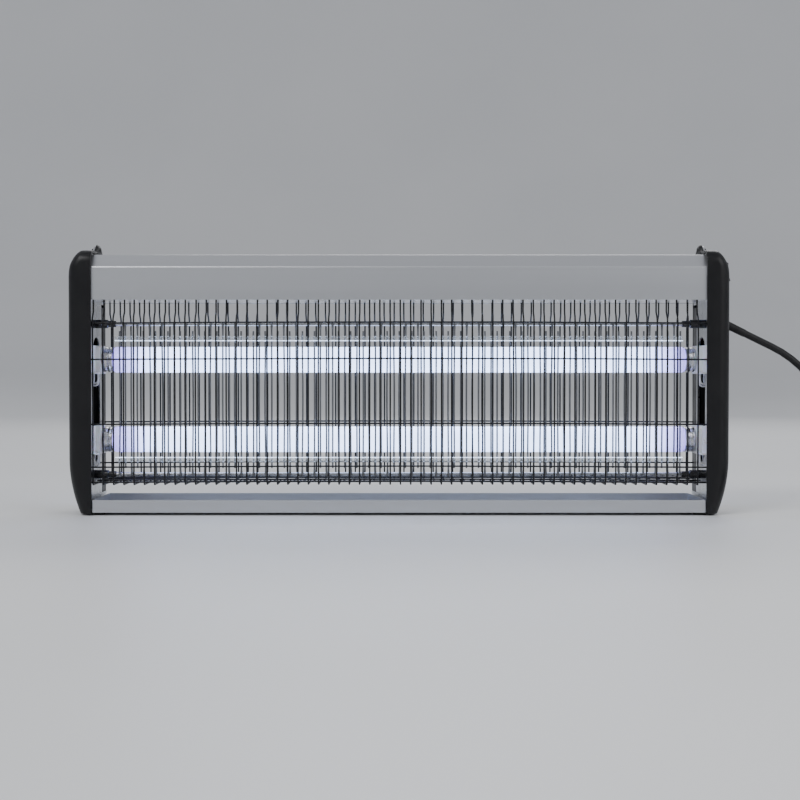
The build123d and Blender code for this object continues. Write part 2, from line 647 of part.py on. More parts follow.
with BuildPart() as fuse_holder:
    box_between((240, 8, DECK), (276, 18, DECK + 3))
    for x in (242, 268):
        box_between((x, 8, DECK), (x + 6, 18, DECK + 12))
    rod_along_x(239, 277, FUSE_Y, FUSE_Z, 2.6, Mode.SUBTRACT)
save(fuse_holder.part, "fuse_holder")

with BuildPart() as fuse:
    rod_along_x(247, 269, FUSE_Y, FUSE_Z, 2.1)
    rod_along_x(243, 249, FUSE_Y, FUSE_Z, 2.5)
    rod_along_x(267, 273, FUSE_Y, FUSE_Z, 2.5)
save(fuse.part, "fuse")


# ---- leads ----
def lead(points, radius, bends):
    """A round lead along straight runs and tangent arcs."""
    start = Vector(*points[0])
    along = Vector(*points[1]) - start
    with BuildPart() as tube:
        with BuildLine() as path:
            FilletPolyline(*points, radius=bends)
        with BuildSketch(Plane(origin=start, z_dir=along)):
            Circle(radius)
        sweep(path=path.wire())
    return tube.part


def lamp_leads():
    """Two leads from each right-hand holder, looped down and up behind the end plate to the housing."""
    with BuildPart() as leads:
        for row, z in LAMP_Z.items():
            x_up, spread = (314.0, 4.0) if row == "upper" else (315.5, 7.5)
            low = z - HOLDER_HALF + 2
            for y in (-spread, spread):
                loop = [(306, y, low), (306, y, low - 12), (x_up, y, low - 12)]
                loop += [(x_up, y, 218), (292, 0.85 * y, 218)]
                add(lead(loop, 0.9, [3.6, 3.6, 5]))
    return leads.part


right_leads = lamp_leads()
save(mirrored(right_leads), "lamp_leads_left")
save(right_leads, "lamp_leads_right")

# From the multiplier board to the upper electrode at the right and the lower electrode at the left.
HV_LEAD_R = 1.2
HV_BENDS = [12, 12, 6, 6, 3]
ROD_LEAD_X = INSULATOR_END + HV_LEAD_R + 0.1
upper_hv_route = [
    (222, -4, 224), (262, 0, 226), (288, 0, 218), (308, 0, 218), (308, -8, 204),
    (ROD_LEAD_X, GRID_Y, 197), (ROD_LEAD_X, GRID_Y, UPPER_ROD_Z - 1),
]
lower_hv_route = [
    (128, 33, 220), (-270, 33, 220), (-290, 0, 218), (-308, 0, 218), (-308, -10, 202),
    (-ROD_LEAD_X, GRID_Y, 190), (-ROD_LEAD_X, GRID_Y, LOWER_ROD_Z - 1),
]
with BuildPart() as hv_leads:
    add(lead(upper_hv_route, HV_LEAD_R, HV_BENDS))
    add(lead(lower_hv_route, HV_LEAD_R, HV_BENDS))
save(hv_leads.part, "hv_leads")

RELIEF_INSIDE = 6.0
SHEATH_R = 2.2
SHEATH_X = 308.5
SHEATH_Y = 12.0
TAB_X = 306.8  # the switch's tabs, and where its leads meet them
TAB_Y = SWITCH_Y + 2.4
SWITCH_LEAD_R = 0.8
cord_inside = cord_exit - cord_direction * (RELIEF_INSIDE + SHEATH_R / 2)
sheath_route = [
    tuple(cord_inside), (SHEATH_X, 1, 197), (SHEATH_X, SHEATH_Y, 203), (SHEATH_X, SHEATH_Y, 232),
    (294, SHEATH_Y, 232), (276, -4, 236), (262, -15, 229.2),
]
lower_tab_route = [(TAB_X, TAB_Y, 231), (TAB_X, 17.5, 231), (294, 17.5, 231)]
upper_tab_route = [(TAB_X, TAB_Y, 243), (TAB_X, 20.8, 243), (TAB_X, 20.8, 233), (294, 20.8, 233)]
with BuildPart() as mains_leads:
    add(lead(sheath_route, SHEATH_R, [3, 3.4, 5, 8, 5]))
    add(lead(lower_tab_route, SWITCH_LEAD_R, [3]))
    add(lead(upper_tab_route, SWITCH_LEAD_R, [3, 3]))
save(mains_leads.part, "mains_leads")

with BuildPart() as cord_clamp:
    box_between((PLATE_X + PLATE_T + 0.1, SHEATH_Y - 5.5, 208), (SHEATH_X + 4, SHEATH_Y + 5.5, 214))
    with Locations((SHEATH_X, SHEATH_Y, 211)):
        Cylinder(SHEATH_R + 0.05, 10, mode=Mode.SUBTRACT)
save(cord_clamp.part, "cord_clamp")


# ---- screws ----
def screw(plane, length):
    """A pan-head screw whose head sits on the plane and whose shank runs against its normal."""
    with BuildPart() as body:
        with BuildSketch(plane):
            Circle(SCREW_HEAD_R)
        extrude(amount=SCREW_HEAD_T)
        rims = edges().filter_by(GeomType.CIRCLE)
        fillet(rims.sort_by(lambda e: plane.to_local_coords(e.center()).Z)[-1], 0.9)
        with BuildSketch(plane.offset(SCREW_HEAD_T)):
            Rectangle(4, 0.7)
            Rectangle(0.7, 4)
        extrude(amount=-1, mode=Mode.SUBTRACT)
        with BuildSketch(plane):
            Circle(SCREW_R)
        extrude(amount=-length)
    return body.part


def screw_group(name, places, length):
    """Identical screws, one separate solid each."""
    with BuildPart() as group:
        for origin, normal in places:
            add(screw(Plane(origin=origin, z_dir=normal), length))
    save(group.part, name)


screw_group(
    "cap_screws",
    [((s * (CAP_FACE_X - 4.4), y, z), (s, 0, 0)) for s in SIDES for y, z in CAP_SCREWS],
    15.2,
)
screw_group(
    "plate_screws",
    [((s * (PLATE_X + PLATE_T), y, z), (s, 0, 0)) for s in SIDES for y, z in (*TAB_SCREWS, *RAIL_SCREWS)],
    3.2,
)
screw_group("housing_screws", [((x, HOUSING_HALF, HOUSING_SCREW_Z), (0, 1, 0)) for x in HOUSING_SCREW_X], 6.0)

# ---- strain relief, cord, coil, tie and plug ----
with BuildPart() as strain_relief:
    with BuildSketch(cord_exit_plane.offset(-RELIEF_INSIDE)):
        Circle(4.6)
    with BuildSketch(cord_exit_plane.offset(relief_length)):
        Circle(CORD_R + 0.3)
    loft()
save(strain_relief.part, "strain_relief")


def bend_radii(points):
    """The largest arc that each corner's two runs allow."""
    radii = []
    for before, at, after in zip(points, points[1:], points[2:]):
        turn = (at - before).get_angle(after - at)
        radii.append(0.45 * min((at - before).length, (after - at).length) / tan(radians(turn) / 2))
    return radii


cord_radii = bend_radii([Vector(*point) for point in CORD_ROUTE])
print("cord radii", [round(r, 1) for r in cord_radii])
lead_in = lead(CORD_ROUTE, CORD_R, cord_radii)
turn_y = COIL_CENTRE[1] - COIL_OUTER + CORD_R
tail_start = Vector(COIL_CENTRE[0], turn_y, COIL_BOTTOM + CORD_R)
tail_end = Vector(COIL_CENTRE[0] - 30, turn_y, 8.0)
with BuildPart() as power_cord:
    add(lead_in)
    with BuildSketch(Plane(origin=tail_start, z_dir=tail_end - tail_start)):
        Circle(CORD_R)
    extrude(amount=(tail_end - tail_start).length)
save(power_cord.part, "power_cord")

with BuildPart() as cord_coil:
    with BuildSketch(Plane.XY.offset(COIL_BOTTOM)):
        with Locations(COIL_CENTRE):
            Circle(COIL_OUTER)
            Circle(COIL_INNER, mode=Mode.SUBTRACT)
    extrude(amount=COIL_HEIGHT)
    fillet(edges(), 3)
save(cord_coil.part, "cord_coil")

TIE_T = 0.6
TIE_GAP = 0.3
TIE_HALF = 2.5
tie_x = (COIL_CENTRE[0] + COIL_INNER - TIE_GAP, COIL_CENTRE[0] + COIL_OUTER + TIE_GAP)
tie_z = (COIL_BOTTOM - TIE_GAP, COIL_BOTTOM + COIL_HEIGHT + TIE_GAP)
with BuildPart() as cord_tie:
    low = Vector(tie_x[0], COIL_CENTRE[1] - TIE_HALF, tie_z[0])
    high = Vector(tie_x[1], COIL_CENTRE[1] + TIE_HALF, tie_z[1])
    skin = Vector(TIE_T, 0, TIE_T)
    box_between(tuple(low - skin), tuple(high + skin))
    box_between(tuple(low - Vector(0, 1, 0)), tuple(high + Vector(0, 1, 0)), Mode.SUBTRACT)
save(cord_tie.part, "cord_tie")

PLUG_R = 18.5
PLUG_HEIGHT = 22.0
BOOT_LENGTH = 20.0
PIN_SPACING = 19.0
PLUG_PIN_R = 2.4
PLUG_PIN_LENGTH = 19.0
plug_centre = (tail_end.X - BOOT_LENGTH - PLUG_R, tail_end.Y)
with BuildPart() as plug_body:
    with BuildSketch():
        with Locations(plug_centre):
            Circle(PLUG_R)
    extrude(amount=PLUG_HEIGHT)
    fillet(edges().group_by(Axis.Z)[0], 4)
    fillet(edges().group_by(Axis.Z)[-1], 1)
    with BuildSketch(Plane.YZ.offset(tail_end.X)):
        with Locations((tail_end.Y, tail_end.Z)):
            Circle(CORD_R + 0.6)
    with BuildSketch(Plane.YZ.offset(plug_centre[0] + 4)):
        with Locations((tail_end.Y, tail_end.Z)):
            Circle(6.8)
    loft()
save(plug_body.part, "plug_body")

with BuildPart() as plug_pins:
    with BuildSketch(Plane.XY.offset(PLUG_HEIGHT)):
        with Locations(*((plug_centre[0], plug_centre[1] + side * PIN_SPACING / 2) for side in SIDES)):
            Circle(PLUG_PIN_R)
    extrude(amount=PLUG_PIN_LENGTH)
    fillet(edges().group_by(Axis.Z)[-1], 1.2)
save(plug_pins.part, "plug_pins")
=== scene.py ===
import json
import math
import random

import bmesh
import bpy
from mathutils import Matrix, Vector


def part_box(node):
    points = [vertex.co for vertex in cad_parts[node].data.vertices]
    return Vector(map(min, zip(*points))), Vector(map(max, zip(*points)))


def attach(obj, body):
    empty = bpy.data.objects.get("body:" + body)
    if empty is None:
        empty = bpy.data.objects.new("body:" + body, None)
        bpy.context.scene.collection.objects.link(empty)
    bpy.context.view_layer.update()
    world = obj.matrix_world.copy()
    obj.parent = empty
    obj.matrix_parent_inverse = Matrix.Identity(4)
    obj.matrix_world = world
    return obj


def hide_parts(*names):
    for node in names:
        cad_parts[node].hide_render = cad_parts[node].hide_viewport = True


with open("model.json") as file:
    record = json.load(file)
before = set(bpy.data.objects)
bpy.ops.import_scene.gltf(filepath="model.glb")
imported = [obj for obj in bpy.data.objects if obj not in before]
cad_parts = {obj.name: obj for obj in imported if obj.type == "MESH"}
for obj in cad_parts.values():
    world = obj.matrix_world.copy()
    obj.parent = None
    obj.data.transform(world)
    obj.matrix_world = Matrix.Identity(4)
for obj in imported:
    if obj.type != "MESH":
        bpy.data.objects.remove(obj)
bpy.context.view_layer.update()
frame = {"nodes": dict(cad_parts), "record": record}

# An electric insect killer with two glowing tubes, on a pale studio floor. Metres, +Z up, front towards -Y.
nodes = frame["nodes"]
MM = 0.001
WALK = random.Random(7)

# ---- camera ----
FOCAL_LENGTH = 65.0
SENSOR = 36.0
TILT = math.radians(1.15)
camera = bpy.data.objects.new("camera", bpy.data.cameras.new("camera"))
bpy.context.scene.collection.objects.link(camera)
bpy.context.scene.camera = camera
camera.data.lens = FOCAL_LENGTH
camera.data.sensor_width = SENSOR
camera.location = (1 * MM, -1445 * MM, 140.7 * MM)
camera.rotation_euler = (math.pi / 2 - TILT, 0, 0)

# ---- power cord ----
CORD_D = 7 * MM
CORD_EXIT = Vector((322.5, 0, 189.4)) * MM
# The route from the strain relief down to the first turn.
ROUTE = [
    (345.9, 0, 178.0), (399.8, 0, 151.7), (433.3, 0, 102.0), (440.8, 0, 66.8),
    (441.7, 0, 40.9), (453.1, 0, 22.0), (471.2, 0, 11.5),
]
COIL_CENTRE = Vector((492.2, -45.5, 0)) * MM
COIL_OUTER = 45.5 * MM
COIL_INNER = 26.25 * MM
LAYER_TURNS = 2.75
TURN_POINTS = 16
DROP_TURNS = 0.25
HIGH_LAYER = 11.5 * MM
LOW_LAYER = 4.5 * MM
TAIL_REACH = 30 * MM      # from the coil's centre to the end of the cord, towards the plug
PLUG_CORD_Z = 8 * MM      # height of the cord where the plug's boot takes it


def coil_point(turn):
    """A point of the put-away turns: inwards on the upper layer, then outwards on the lower one."""
    if turn <= LAYER_TURNS:
        share = turn / LAYER_TURNS
        radius = COIL_OUTER + (COIL_INNER - COIL_OUTER) * share
        height = HIGH_LAYER
    else:
        share = max(0.0, (turn - LAYER_TURNS - DROP_TURNS) / (LAYER_TURNS - DROP_TURNS))
        radius = COIL_INNER + (COIL_OUTER - COIL_INNER) * share
        height = LOW_LAYER + (HIGH_LAYER - LOW_LAYER) * max(0.0, 1 - (turn - LAYER_TURNS) / DROP_TURNS)
    angle = math.pi / 2 - turn * 2 * math.pi
    return COIL_CENTRE + Vector((radius * math.cos(angle), radius * math.sin(angle), height))


def curve_object(name, body, sides):
    """An empty bevelled curve that rides on a body.

    Each point's radius is the wire's radius there in metres.
    """
    data = bpy.data.curves.new(name, "CURVE")
    data.dimensions = "3D"
    data.bevel_depth = 1.0
    data.bevel_resolution = sides
    data.use_fill_caps = True
    piece = bpy.data.objects.new(name, data)
    bpy.context.scene.collection.objects.link(piece)
    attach(piece, body)
    return piece


def add_wire(piece, points, radius, steps=4, swell=None):
    """One open smooth wire that rounds the corners of its points. swell scales its radius at each point."""
    spline = piece.data.splines.new("NURBS")
    spline.points.add(len(points) - 1)
    for i, point in enumerate(points):
        spline.points[i].co = (*point, 1)
        spline.points[i].radius = radius * (swell[i] if swell else 1)
    spline.order_u = 3
    spline.use_endpoint_u = True
    spline.resolution_u = steps


power_cord = curve_object("power_cord_flex", "root", 5)
coil = [coil_point(i / TURN_POINTS) for i in range(int(2 * LAYER_TURNS * TURN_POINTS) + 1)]
tail_end = Vector((COIL_CENTRE.x - TAIL_REACH, coil[-1].y, PLUG_CORD_Z))
tail = [coil[-1] + Vector((-12, 0, 0.2)) * MM, tail_end, tail_end + Vector((-6, 0, 0)) * MM]
route = [Vector(p) * MM for p in ROUTE]
add_wire(power_cord, [CORD_EXIT] + route + coil + tail, CORD_D / 2, 5)
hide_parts("power_cord", "cord_coil")


# ---- mesh helpers ----
PIECE_SHARP = math.radians(38)
NODE_SHARP = math.radians(30)


def mesh_piece(name, body, build):
    """A mesh made by build(bm), riding on a body."""
    bm = bmesh.new()
    build(bm)
    bmesh.ops.recalc_face_normals(bm, faces=bm.faces)
    data = bpy.data.meshes.new(name)
    bm.to_mesh(data)
    bm.free()
    piece = bpy.data.objects.new(name, data)
    bpy.context.scene.collection.objects.link(piece)
    data.shade_smooth()
    data.set_sharp_from_angle(angle=PIECE_SHARP)
    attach(piece, body)
    return piece


def join(bm, a, b, i, j):
    """A face between points i and j of two rings. A ring of one point closes to it."""
    face = [a[i % len(a)], a[j % len(a)], b[j % len(b)], b[i % len(b)]]
    bm.faces.new([v for k, v in enumerate(face) if v not in face[:k]])


def lathe(bm, profile, place, sides=48, gap=0.0):
    """Turns (along, radius) pairs about the local Z axis of place. A radius of 0 closes an end.

    gap leaves the surface open over that angle on both sides of the local Y axis.
    """
    rings = []
    for along, radius in profile:
        if radius <= 0:
            rings.append([bm.verts.new(place @ Vector((0, 0, along)))])
            continue
        ring = []
        for i in range(sides):
            turn = 2 * math.pi * i / sides
            spot = Vector((radius * math.cos(turn), radius * math.sin(turn), along))
            ring.append(bm.verts.new(place @ spot))
        rings.append(ring)
    for a, b in zip(rings, rings[1:]):
        for i in range(sides):
            if abs((i + 0.5) / sides * 2 * math.pi - math.pi / 2) < gap:
                continue
            j = (i + 1) % sides
            join(bm, a, b, i, j)


def along_x(x, y, z, side=1):
    """A place whose local Z points along +X or -X."""
    return Matrix.Translation((x, y, z)) @ Matrix.Rotation(side * math.pi / 2, 4, "Y")


def blob(bm, centre, size):
    """A small rounded lump, such as a spot weld."""
    place = Matrix.Translation(centre) @ Matrix.Diagonal((*size, 1))
    bmesh.ops.create_icosphere(bm, subdivisions=1, radius=1, matrix=place)


# ---- materials ----
def principled(name):
    """A new material, its node tree and its shader."""
    made = bpy.data.materials.new(name)
    made.use_nodes = True
    tree = made.node_tree
    return made, tree, tree.nodes["Principled BSDF"]


def noise(tree, size, detail=3.0, stretch=(1, 1, 1)):
    """Noise with features of about that size in metres, drawn out along an axis by stretch."""
    where = tree.nodes.new("ShaderNodeTexCoord")
    mapping = tree.nodes.new("ShaderNodeMapping")
    texture = tree.nodes.new("ShaderNodeTexNoise")
    mapping.inputs["Scale"].default_value = [1 / s for s in stretch]
    texture.inputs["Scale"].default_value = 1 / size
    texture.inputs["Detail"].default_value = detail
    tree.links.new(where.outputs["Object"], mapping.inputs["Vector"])
    tree.links.new(mapping.outputs["Vector"], texture.inputs["Vector"])
    return texture.outputs["Fac"]


def between(tree, fac, low, high, start=0.3, end=0.7):
    """Two colours or two numbers mixed by a texture."""
    if isinstance(low, (int, float)):
        node = tree.nodes.new("ShaderNodeMapRange")
        values = {"From Min": start, "From Max": end, "To Min": low, "To Max": high}
        for socket, value in values.items():
            node.inputs[socket].default_value = value
        tree.links.new(fac, node.inputs["Value"])
        return node.outputs["Result"]
    node = tree.nodes.new("ShaderNodeValToRGB")
    node.color_ramp.elements[0].position = start
    node.color_ramp.elements[1].position = end
    node.color_ramp.elements[0].color = (*low, 1)
    node.color_ramp.elements[1].color = (*high, 1)
    tree.links.new(fac, node.inputs["Fac"])
    return node.outputs["Color"]


def bumped(tree, shader, height, depth):
    """Adds a bump of that depth in metres to the shader."""
    node = tree.nodes.new("ShaderNodeBump")
    node.inputs["Distance"].default_value = depth
    node.inputs["Strength"].default_value = 1.0
    tree.links.new(height, node.inputs["Height"])
    tree.links.new(node.outputs["Normal"], shader.inputs["Normal"])


def surface(name, dark, light, rough, metal=0.0, patch=0.03, grain=0.0006, depth=0.00002,
            stretch=(1, 1, 1), **sockets):
    """A material with blotchy colour, uneven gloss and a fine grain. sockets sets more shader inputs."""
    made, tree, shader = principled(name)
    shader.inputs["Metallic"].default_value = metal
    blotch = noise(tree, patch, 4.0, stretch)
    fine = noise(tree, grain, 2.0, stretch)
    tree.links.new(between(tree, blotch, dark, light), shader.inputs["Base Color"])
    gloss = noise(tree, patch * 0.6, 5.0, stretch)
    tree.links.new(between(tree, gloss, *rough), shader.inputs["Roughness"])
    bumped(tree, shader, fine, depth)
    for socket, value in sockets.items():
        shader.inputs[socket.replace("_", " ")].default_value = value
    return made


TUBE_END_SHARE = 0.35  # how bright a tube's end is, as a share of its middle


def glow(name, colour, end_colour, strength, reach, fade):
    """A lit tube: bright along its length, dimmer and more violet over the last stretch before reach."""
    made, tree, shader = principled(name)
    where = tree.nodes.new("ShaderNodeTexCoord")
    split = tree.nodes.new("ShaderNodeSeparateXYZ")
    away = tree.nodes.new("ShaderNodeMath")
    away.operation = "ABSOLUTE"
    tree.links.new(where.outputs["Object"], split.inputs["Vector"])
    tree.links.new(split.outputs["X"], away.inputs[0])
    tint = between(tree, away.outputs["Value"], colour, end_colour, reach - fade, reach)
    node = tree.nodes.new("ShaderNodeMapRange")
    node.interpolation_type = "SMOOTHSTEP"
    values = {
        "From Min": reach - fade,
        "From Max": reach,
        "To Min": strength,
        "To Max": strength * TUBE_END_SHARE,
    }
    for socket, value in values.items():
        node.inputs[socket].default_value = value
    tree.links.new(away.outputs["Value"], node.inputs["Value"])
    tree.links.new(tint, shader.inputs["Emission Color"])
    tree.links.new(node.outputs["Result"], shader.inputs["Emission Strength"])
    shader.inputs["Roughness"].default_value = 0.12
    powder = between(tree, noise(tree, 0.004), (0.78, 0.80, 0.86), (0.86, 0.88, 0.94))
    tree.links.new(powder, shader.inputs["Base Color"])
    return made


def painted_edge_glow(name, middle_z, near, far, strength):
    """Clear plastic with a painted glow on its edge towards the height middle_z, standing in for the tubes'
    light carried in the plastic.
    """
    made, tree, shader = principled(name)
    where = tree.nodes.new("ShaderNodeTexCoord")
    split = tree.nodes.new("ShaderNodeSeparateXYZ")
    offset = tree.nodes.new("ShaderNodeMath")
    away = tree.nodes.new("ShaderNodeMath")
    offset.operation = "SUBTRACT"
    offset.inputs[1].default_value = middle_z
    away.operation = "ABSOLUTE"
    tree.links.new(where.outputs["Object"], split.inputs["Vector"])
    tree.links.new(split.outputs["Z"], offset.inputs[0])
    tree.links.new(offset.outputs["Value"], away.inputs[0])
    # Painted glow: the edge band emits the tubes' blue light, though the plastic is no lamp.
    painted_glow = between(tree, away.outputs["Value"], strength, 0.0, near, far)
    tree.links.new(painted_glow, shader.inputs["Emission Strength"])
    shader.inputs["Emission Color"].default_value = (0.62, 0.74, 1.0, 1)
    haze = noise(tree, 0.004)
    tint = between(tree, haze, (0.88, 0.92, 0.95), (0.96, 0.98, 0.99))
    tree.links.new(tint, shader.inputs["Base Color"])
    tree.links.new(between(tree, haze, 0.06, 0.16), shader.inputs["Roughness"])
    shader.inputs["Transmission Weight"].default_value = 0.9
    shader.inputs["IOR"].default_value = 1.46
    return made


LONG_X = (40, 1, 1)
LONG_Z = (1, 1, 40)
M = {
    "cap_plastic": surface("cap_plastic", (0.003, 0.003, 0.004), (0.006, 0.006, 0.007), (0.30, 0.42),
                           grain=0.0007, depth=0.00005, Specular_IOR_Level=0.32),
    "housing_metal": surface("housing_metal", (0.50, 0.51, 0.53), (0.57, 0.58, 0.60), (0.30, 0.40), 0.85,
                             patch=0.05, grain=0.0004, depth=0.000012, stretch=LONG_X),
    "plate_steel": surface("plate_steel", (0.52, 0.53, 0.54), (0.66, 0.67, 0.68), (0.24, 0.38), 1.0,
                           patch=0.012),
    "guard_wire": surface("guard_wire", (0.003, 0.003, 0.004), (0.007, 0.007, 0.008), (0.28, 0.40),
                          grain=0.004, depth=0.00001, Specular_IOR_Level=0.35),
    "grid_wire": surface("grid_wire", (0.16, 0.165, 0.175), (0.24, 0.245, 0.255), (0.30, 0.40), 0.9,
                         patch=0.02, grain=0.004, depth=0.000005, stretch=LONG_Z),
    "rod_metal": surface("rod_metal", (0.30, 0.305, 0.315), (0.42, 0.425, 0.435), (0.22, 0.32), 0.95,
                         patch=0.02, grain=0.003, depth=0.000005, stretch=LONG_X),
    "insulator_plastic": surface("insulator_plastic", (0.008, 0.008, 0.009), (0.014, 0.014, 0.015),
                                 (0.20, 0.32)),
    "holder_plastic": surface("holder_plastic", (0.76, 0.77, 0.76), (0.84, 0.85, 0.84), (0.26, 0.38),
                              Subsurface_Weight=0.15, Subsurface_Scale=0.002),
    "lamp_cap": surface("lamp_cap", (0.62, 0.62, 0.64), (0.68, 0.68, 0.70), (0.24, 0.30), 1.0, patch=0.02),
    "contact_brass": surface("contact_brass", (0.62, 0.46, 0.20), (0.74, 0.58, 0.30), (0.22, 0.34), 1.0,
                             patch=0.004),
    "foot_rubber": surface("foot_rubber", (0.016, 0.016, 0.016), (0.026, 0.026, 0.026), (0.62, 0.78),
                           depth=0.00006),
    "switch_plastic": surface("switch_plastic", (0.008, 0.008, 0.009), (0.014, 0.014, 0.015), (0.12, 0.22),
                              depth=0.000008),
    "ballast_steel": surface("ballast_steel", (0.36, 0.37, 0.38), (0.50, 0.51, 0.52), (0.34, 0.5), 0.7),
    "starter_plastic": surface("starter_plastic", (0.74, 0.74, 0.70), (0.84, 0.84, 0.80), (0.36, 0.5)),
    "transformer_resin": surface("transformer_resin", (0.05, 0.035, 0.02), (0.10, 0.07, 0.04), (0.3, 0.5)),
    "board_laminate": surface("board_laminate", (0.24, 0.17, 0.06), (0.34, 0.25, 0.10), (0.38, 0.52)),
    "capacitor_resin": surface("capacitor_resin", (0.06, 0.16, 0.42), (0.09, 0.22, 0.54), (0.18, 0.3)),
    "terminal_nylon": surface("terminal_nylon", (0.72, 0.71, 0.64), (0.84, 0.83, 0.77), (0.34, 0.5)),
    "lead_white": surface("lead_white", (0.72, 0.72, 0.70), (0.82, 0.82, 0.80), (0.3, 0.44)),
    "lead_black": surface("lead_black", (0.012, 0.012, 0.012), (0.020, 0.020, 0.020), (0.34, 0.5)),
    "screw_steel": surface("screw_steel", (0.46, 0.46, 0.47), (0.62, 0.62, 0.63), (0.24, 0.38), 1.0,
                           patch=0.004),
    "cord_sheath": surface("cord_sheath", (0.004, 0.004, 0.005), (0.009, 0.009, 0.010), (0.38, 0.52),
                           depth=0.00004, Specular_IOR_Level=0.35),
    "tie_plastic": surface("tie_plastic", (0.006, 0.006, 0.006), (0.012, 0.012, 0.012), (0.24, 0.36),
                           patch=0.004),
    "plug_plastic": surface("plug_plastic", (0.005, 0.005, 0.006), (0.010, 0.010, 0.011), (0.34, 0.48),
                            patch=0.01, depth=0.00004, Specular_IOR_Level=0.35),
    "pin_metal": surface("pin_metal", (0.68, 0.68, 0.68), (0.80, 0.80, 0.80), (0.1, 0.2), 1.0, patch=0.004),
    # The spacers' inner edges carry a painted glow standing in for the tubes' light in the plastic.
    "spacer_plastic": painted_edge_glow("spacer_plastic", 0.113, 0.0573, 0.0580, 2.2),
    "clear_bead": surface("clear_bead", (0.80, 0.83, 0.86), (0.90, 0.92, 0.94), (0.08, 0.18), patch=0.002,
                          depth=0.000004, Transmission_Weight=0.35, IOR=1.46),
    "mark_paint": surface("mark_paint", (0.74, 0.74, 0.72), (0.84, 0.84, 0.82), (0.3, 0.44), patch=0.002),
    "fuse_glass": surface("fuse_glass", (0.90, 0.93, 0.94), (0.97, 0.98, 0.98), (0.02, 0.06),
                          depth=0.000002, Transmission_Weight=0.9, IOR=1.5),
    "lamp_glass": glow("lamp_glass", (0.50, 0.64, 1.0), (0.30, 0.22, 1.0), 5.0, 0.2875, 0.045),
}

slot_of = {row["node"]: row["material_slot"] for row in frame["record"]["subparts"]}
for name, node in nodes.items():
    node.data.materials.clear()
    node.data.materials.append(M[slot_of[name]])
    node.data.shade_smooth()
    node.data.set_sharp_from_angle(angle=NODE_SHARP)
power_cord.data.materials.append(M["cord_sheath"])

# ---- end caps ----
CAP_FACE_X = 322.5 * MM
CAP_TOP_Z = 258.5 * MM
CAP_ROUND = 12 * MM        # the round of the CAD cap's outer edge
CORNER_WIDE = 13 * MM      # the moulded cap's top corner is drawn down its outer face
CORNER_TALL = 26 * MM
CORNER_CUTS = 16
MERGE = 0.001 * MM
TOUCH = 0.05 * MM          # the switch's pad stands further out than this
FLAT_FIRST = 100           # the flat faces decide the shading of the edges they share


def corner_reach(z, wide, tall):
    """How far a corner of that width and height stands out, from its inner end, at height z."""
    up = min(1.0, max(0.0, (z - CAP_TOP_Z + tall) / tall))
    return wide * math.sqrt(1 - up * up)


def drawn_cap(bm, name):
    """The cap with its top corner drawn out. The switch's pad stays where it is."""
    bm.from_mesh(nodes[name].data)
    bmesh.ops.remove_doubles(bm, verts=bm.verts, dist=MERGE)
    for i in range(CORNER_CUTS):
        cut = CAP_TOP_Z - CORNER_TALL * (1 - i / CORNER_CUTS)
        everything = bm.verts[:] + bm.edges[:] + bm.faces[:]
        bmesh.ops.bisect_plane(bm, geom=everything, dist=MERGE, plane_co=(0, 0, cut), plane_no=(0, 0, 1))
    inner_end = CAP_FACE_X - CORNER_WIDE
    for vert in bm.verts:
        x, z = abs(vert.co.x), vert.co.z
        if inner_end < x < CAP_FACE_X + TOUCH and CAP_TOP_Z - CORNER_TALL < z <= CAP_TOP_Z + TOUCH:
            now = CORNER_WIDE - CAP_ROUND + corner_reach(z, CAP_ROUND, CAP_ROUND)
            share = corner_reach(z, CORNER_WIDE, CORNER_TALL) / now
            vert.co.x = math.copysign(inner_end + (x - inner_end) * share, vert.co.x)


for name in ("end_cap_left", "end_cap_right"):
    cap = mesh_piece(name + "_moulding", "root", lambda bm: drawn_cap(bm, name))
    cap.data.materials.append(M["cap_plastic"])
    flats = cap.modifiers.new("flats", "WEIGHTED_NORMAL")
    flats.weight = FLAT_FIRST
    flats.keep_sharp = True
    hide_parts(name)

# ---- wire guards ----
WIRE_R = 0.8 * MM
PITCH = 10 * MM
GUARD_WIRES = 60
GUARD_Y = 37.5 * MM
NECK_Y = 32 * MM
FLOOR_Z = 29.7 * MM
RAILS_Z = (187.4, 151.9, 88.5, 46.7, 31.8)
FLOOR_WIRES_Y = (24.5, 1.4)
LAID = 2 * WIRE_R
RAIL_BOW = 1.1 * MM
RAIL_END = 302 * MM
RAIL_STEPS = 6             # on each side of the middle
BEND = 4 * MM
WELD_SIZE = (1.1 * MM, 1.0 * MM, 1.0 * MM)


def jitter(amount):
    return WALK.uniform(-amount, amount)


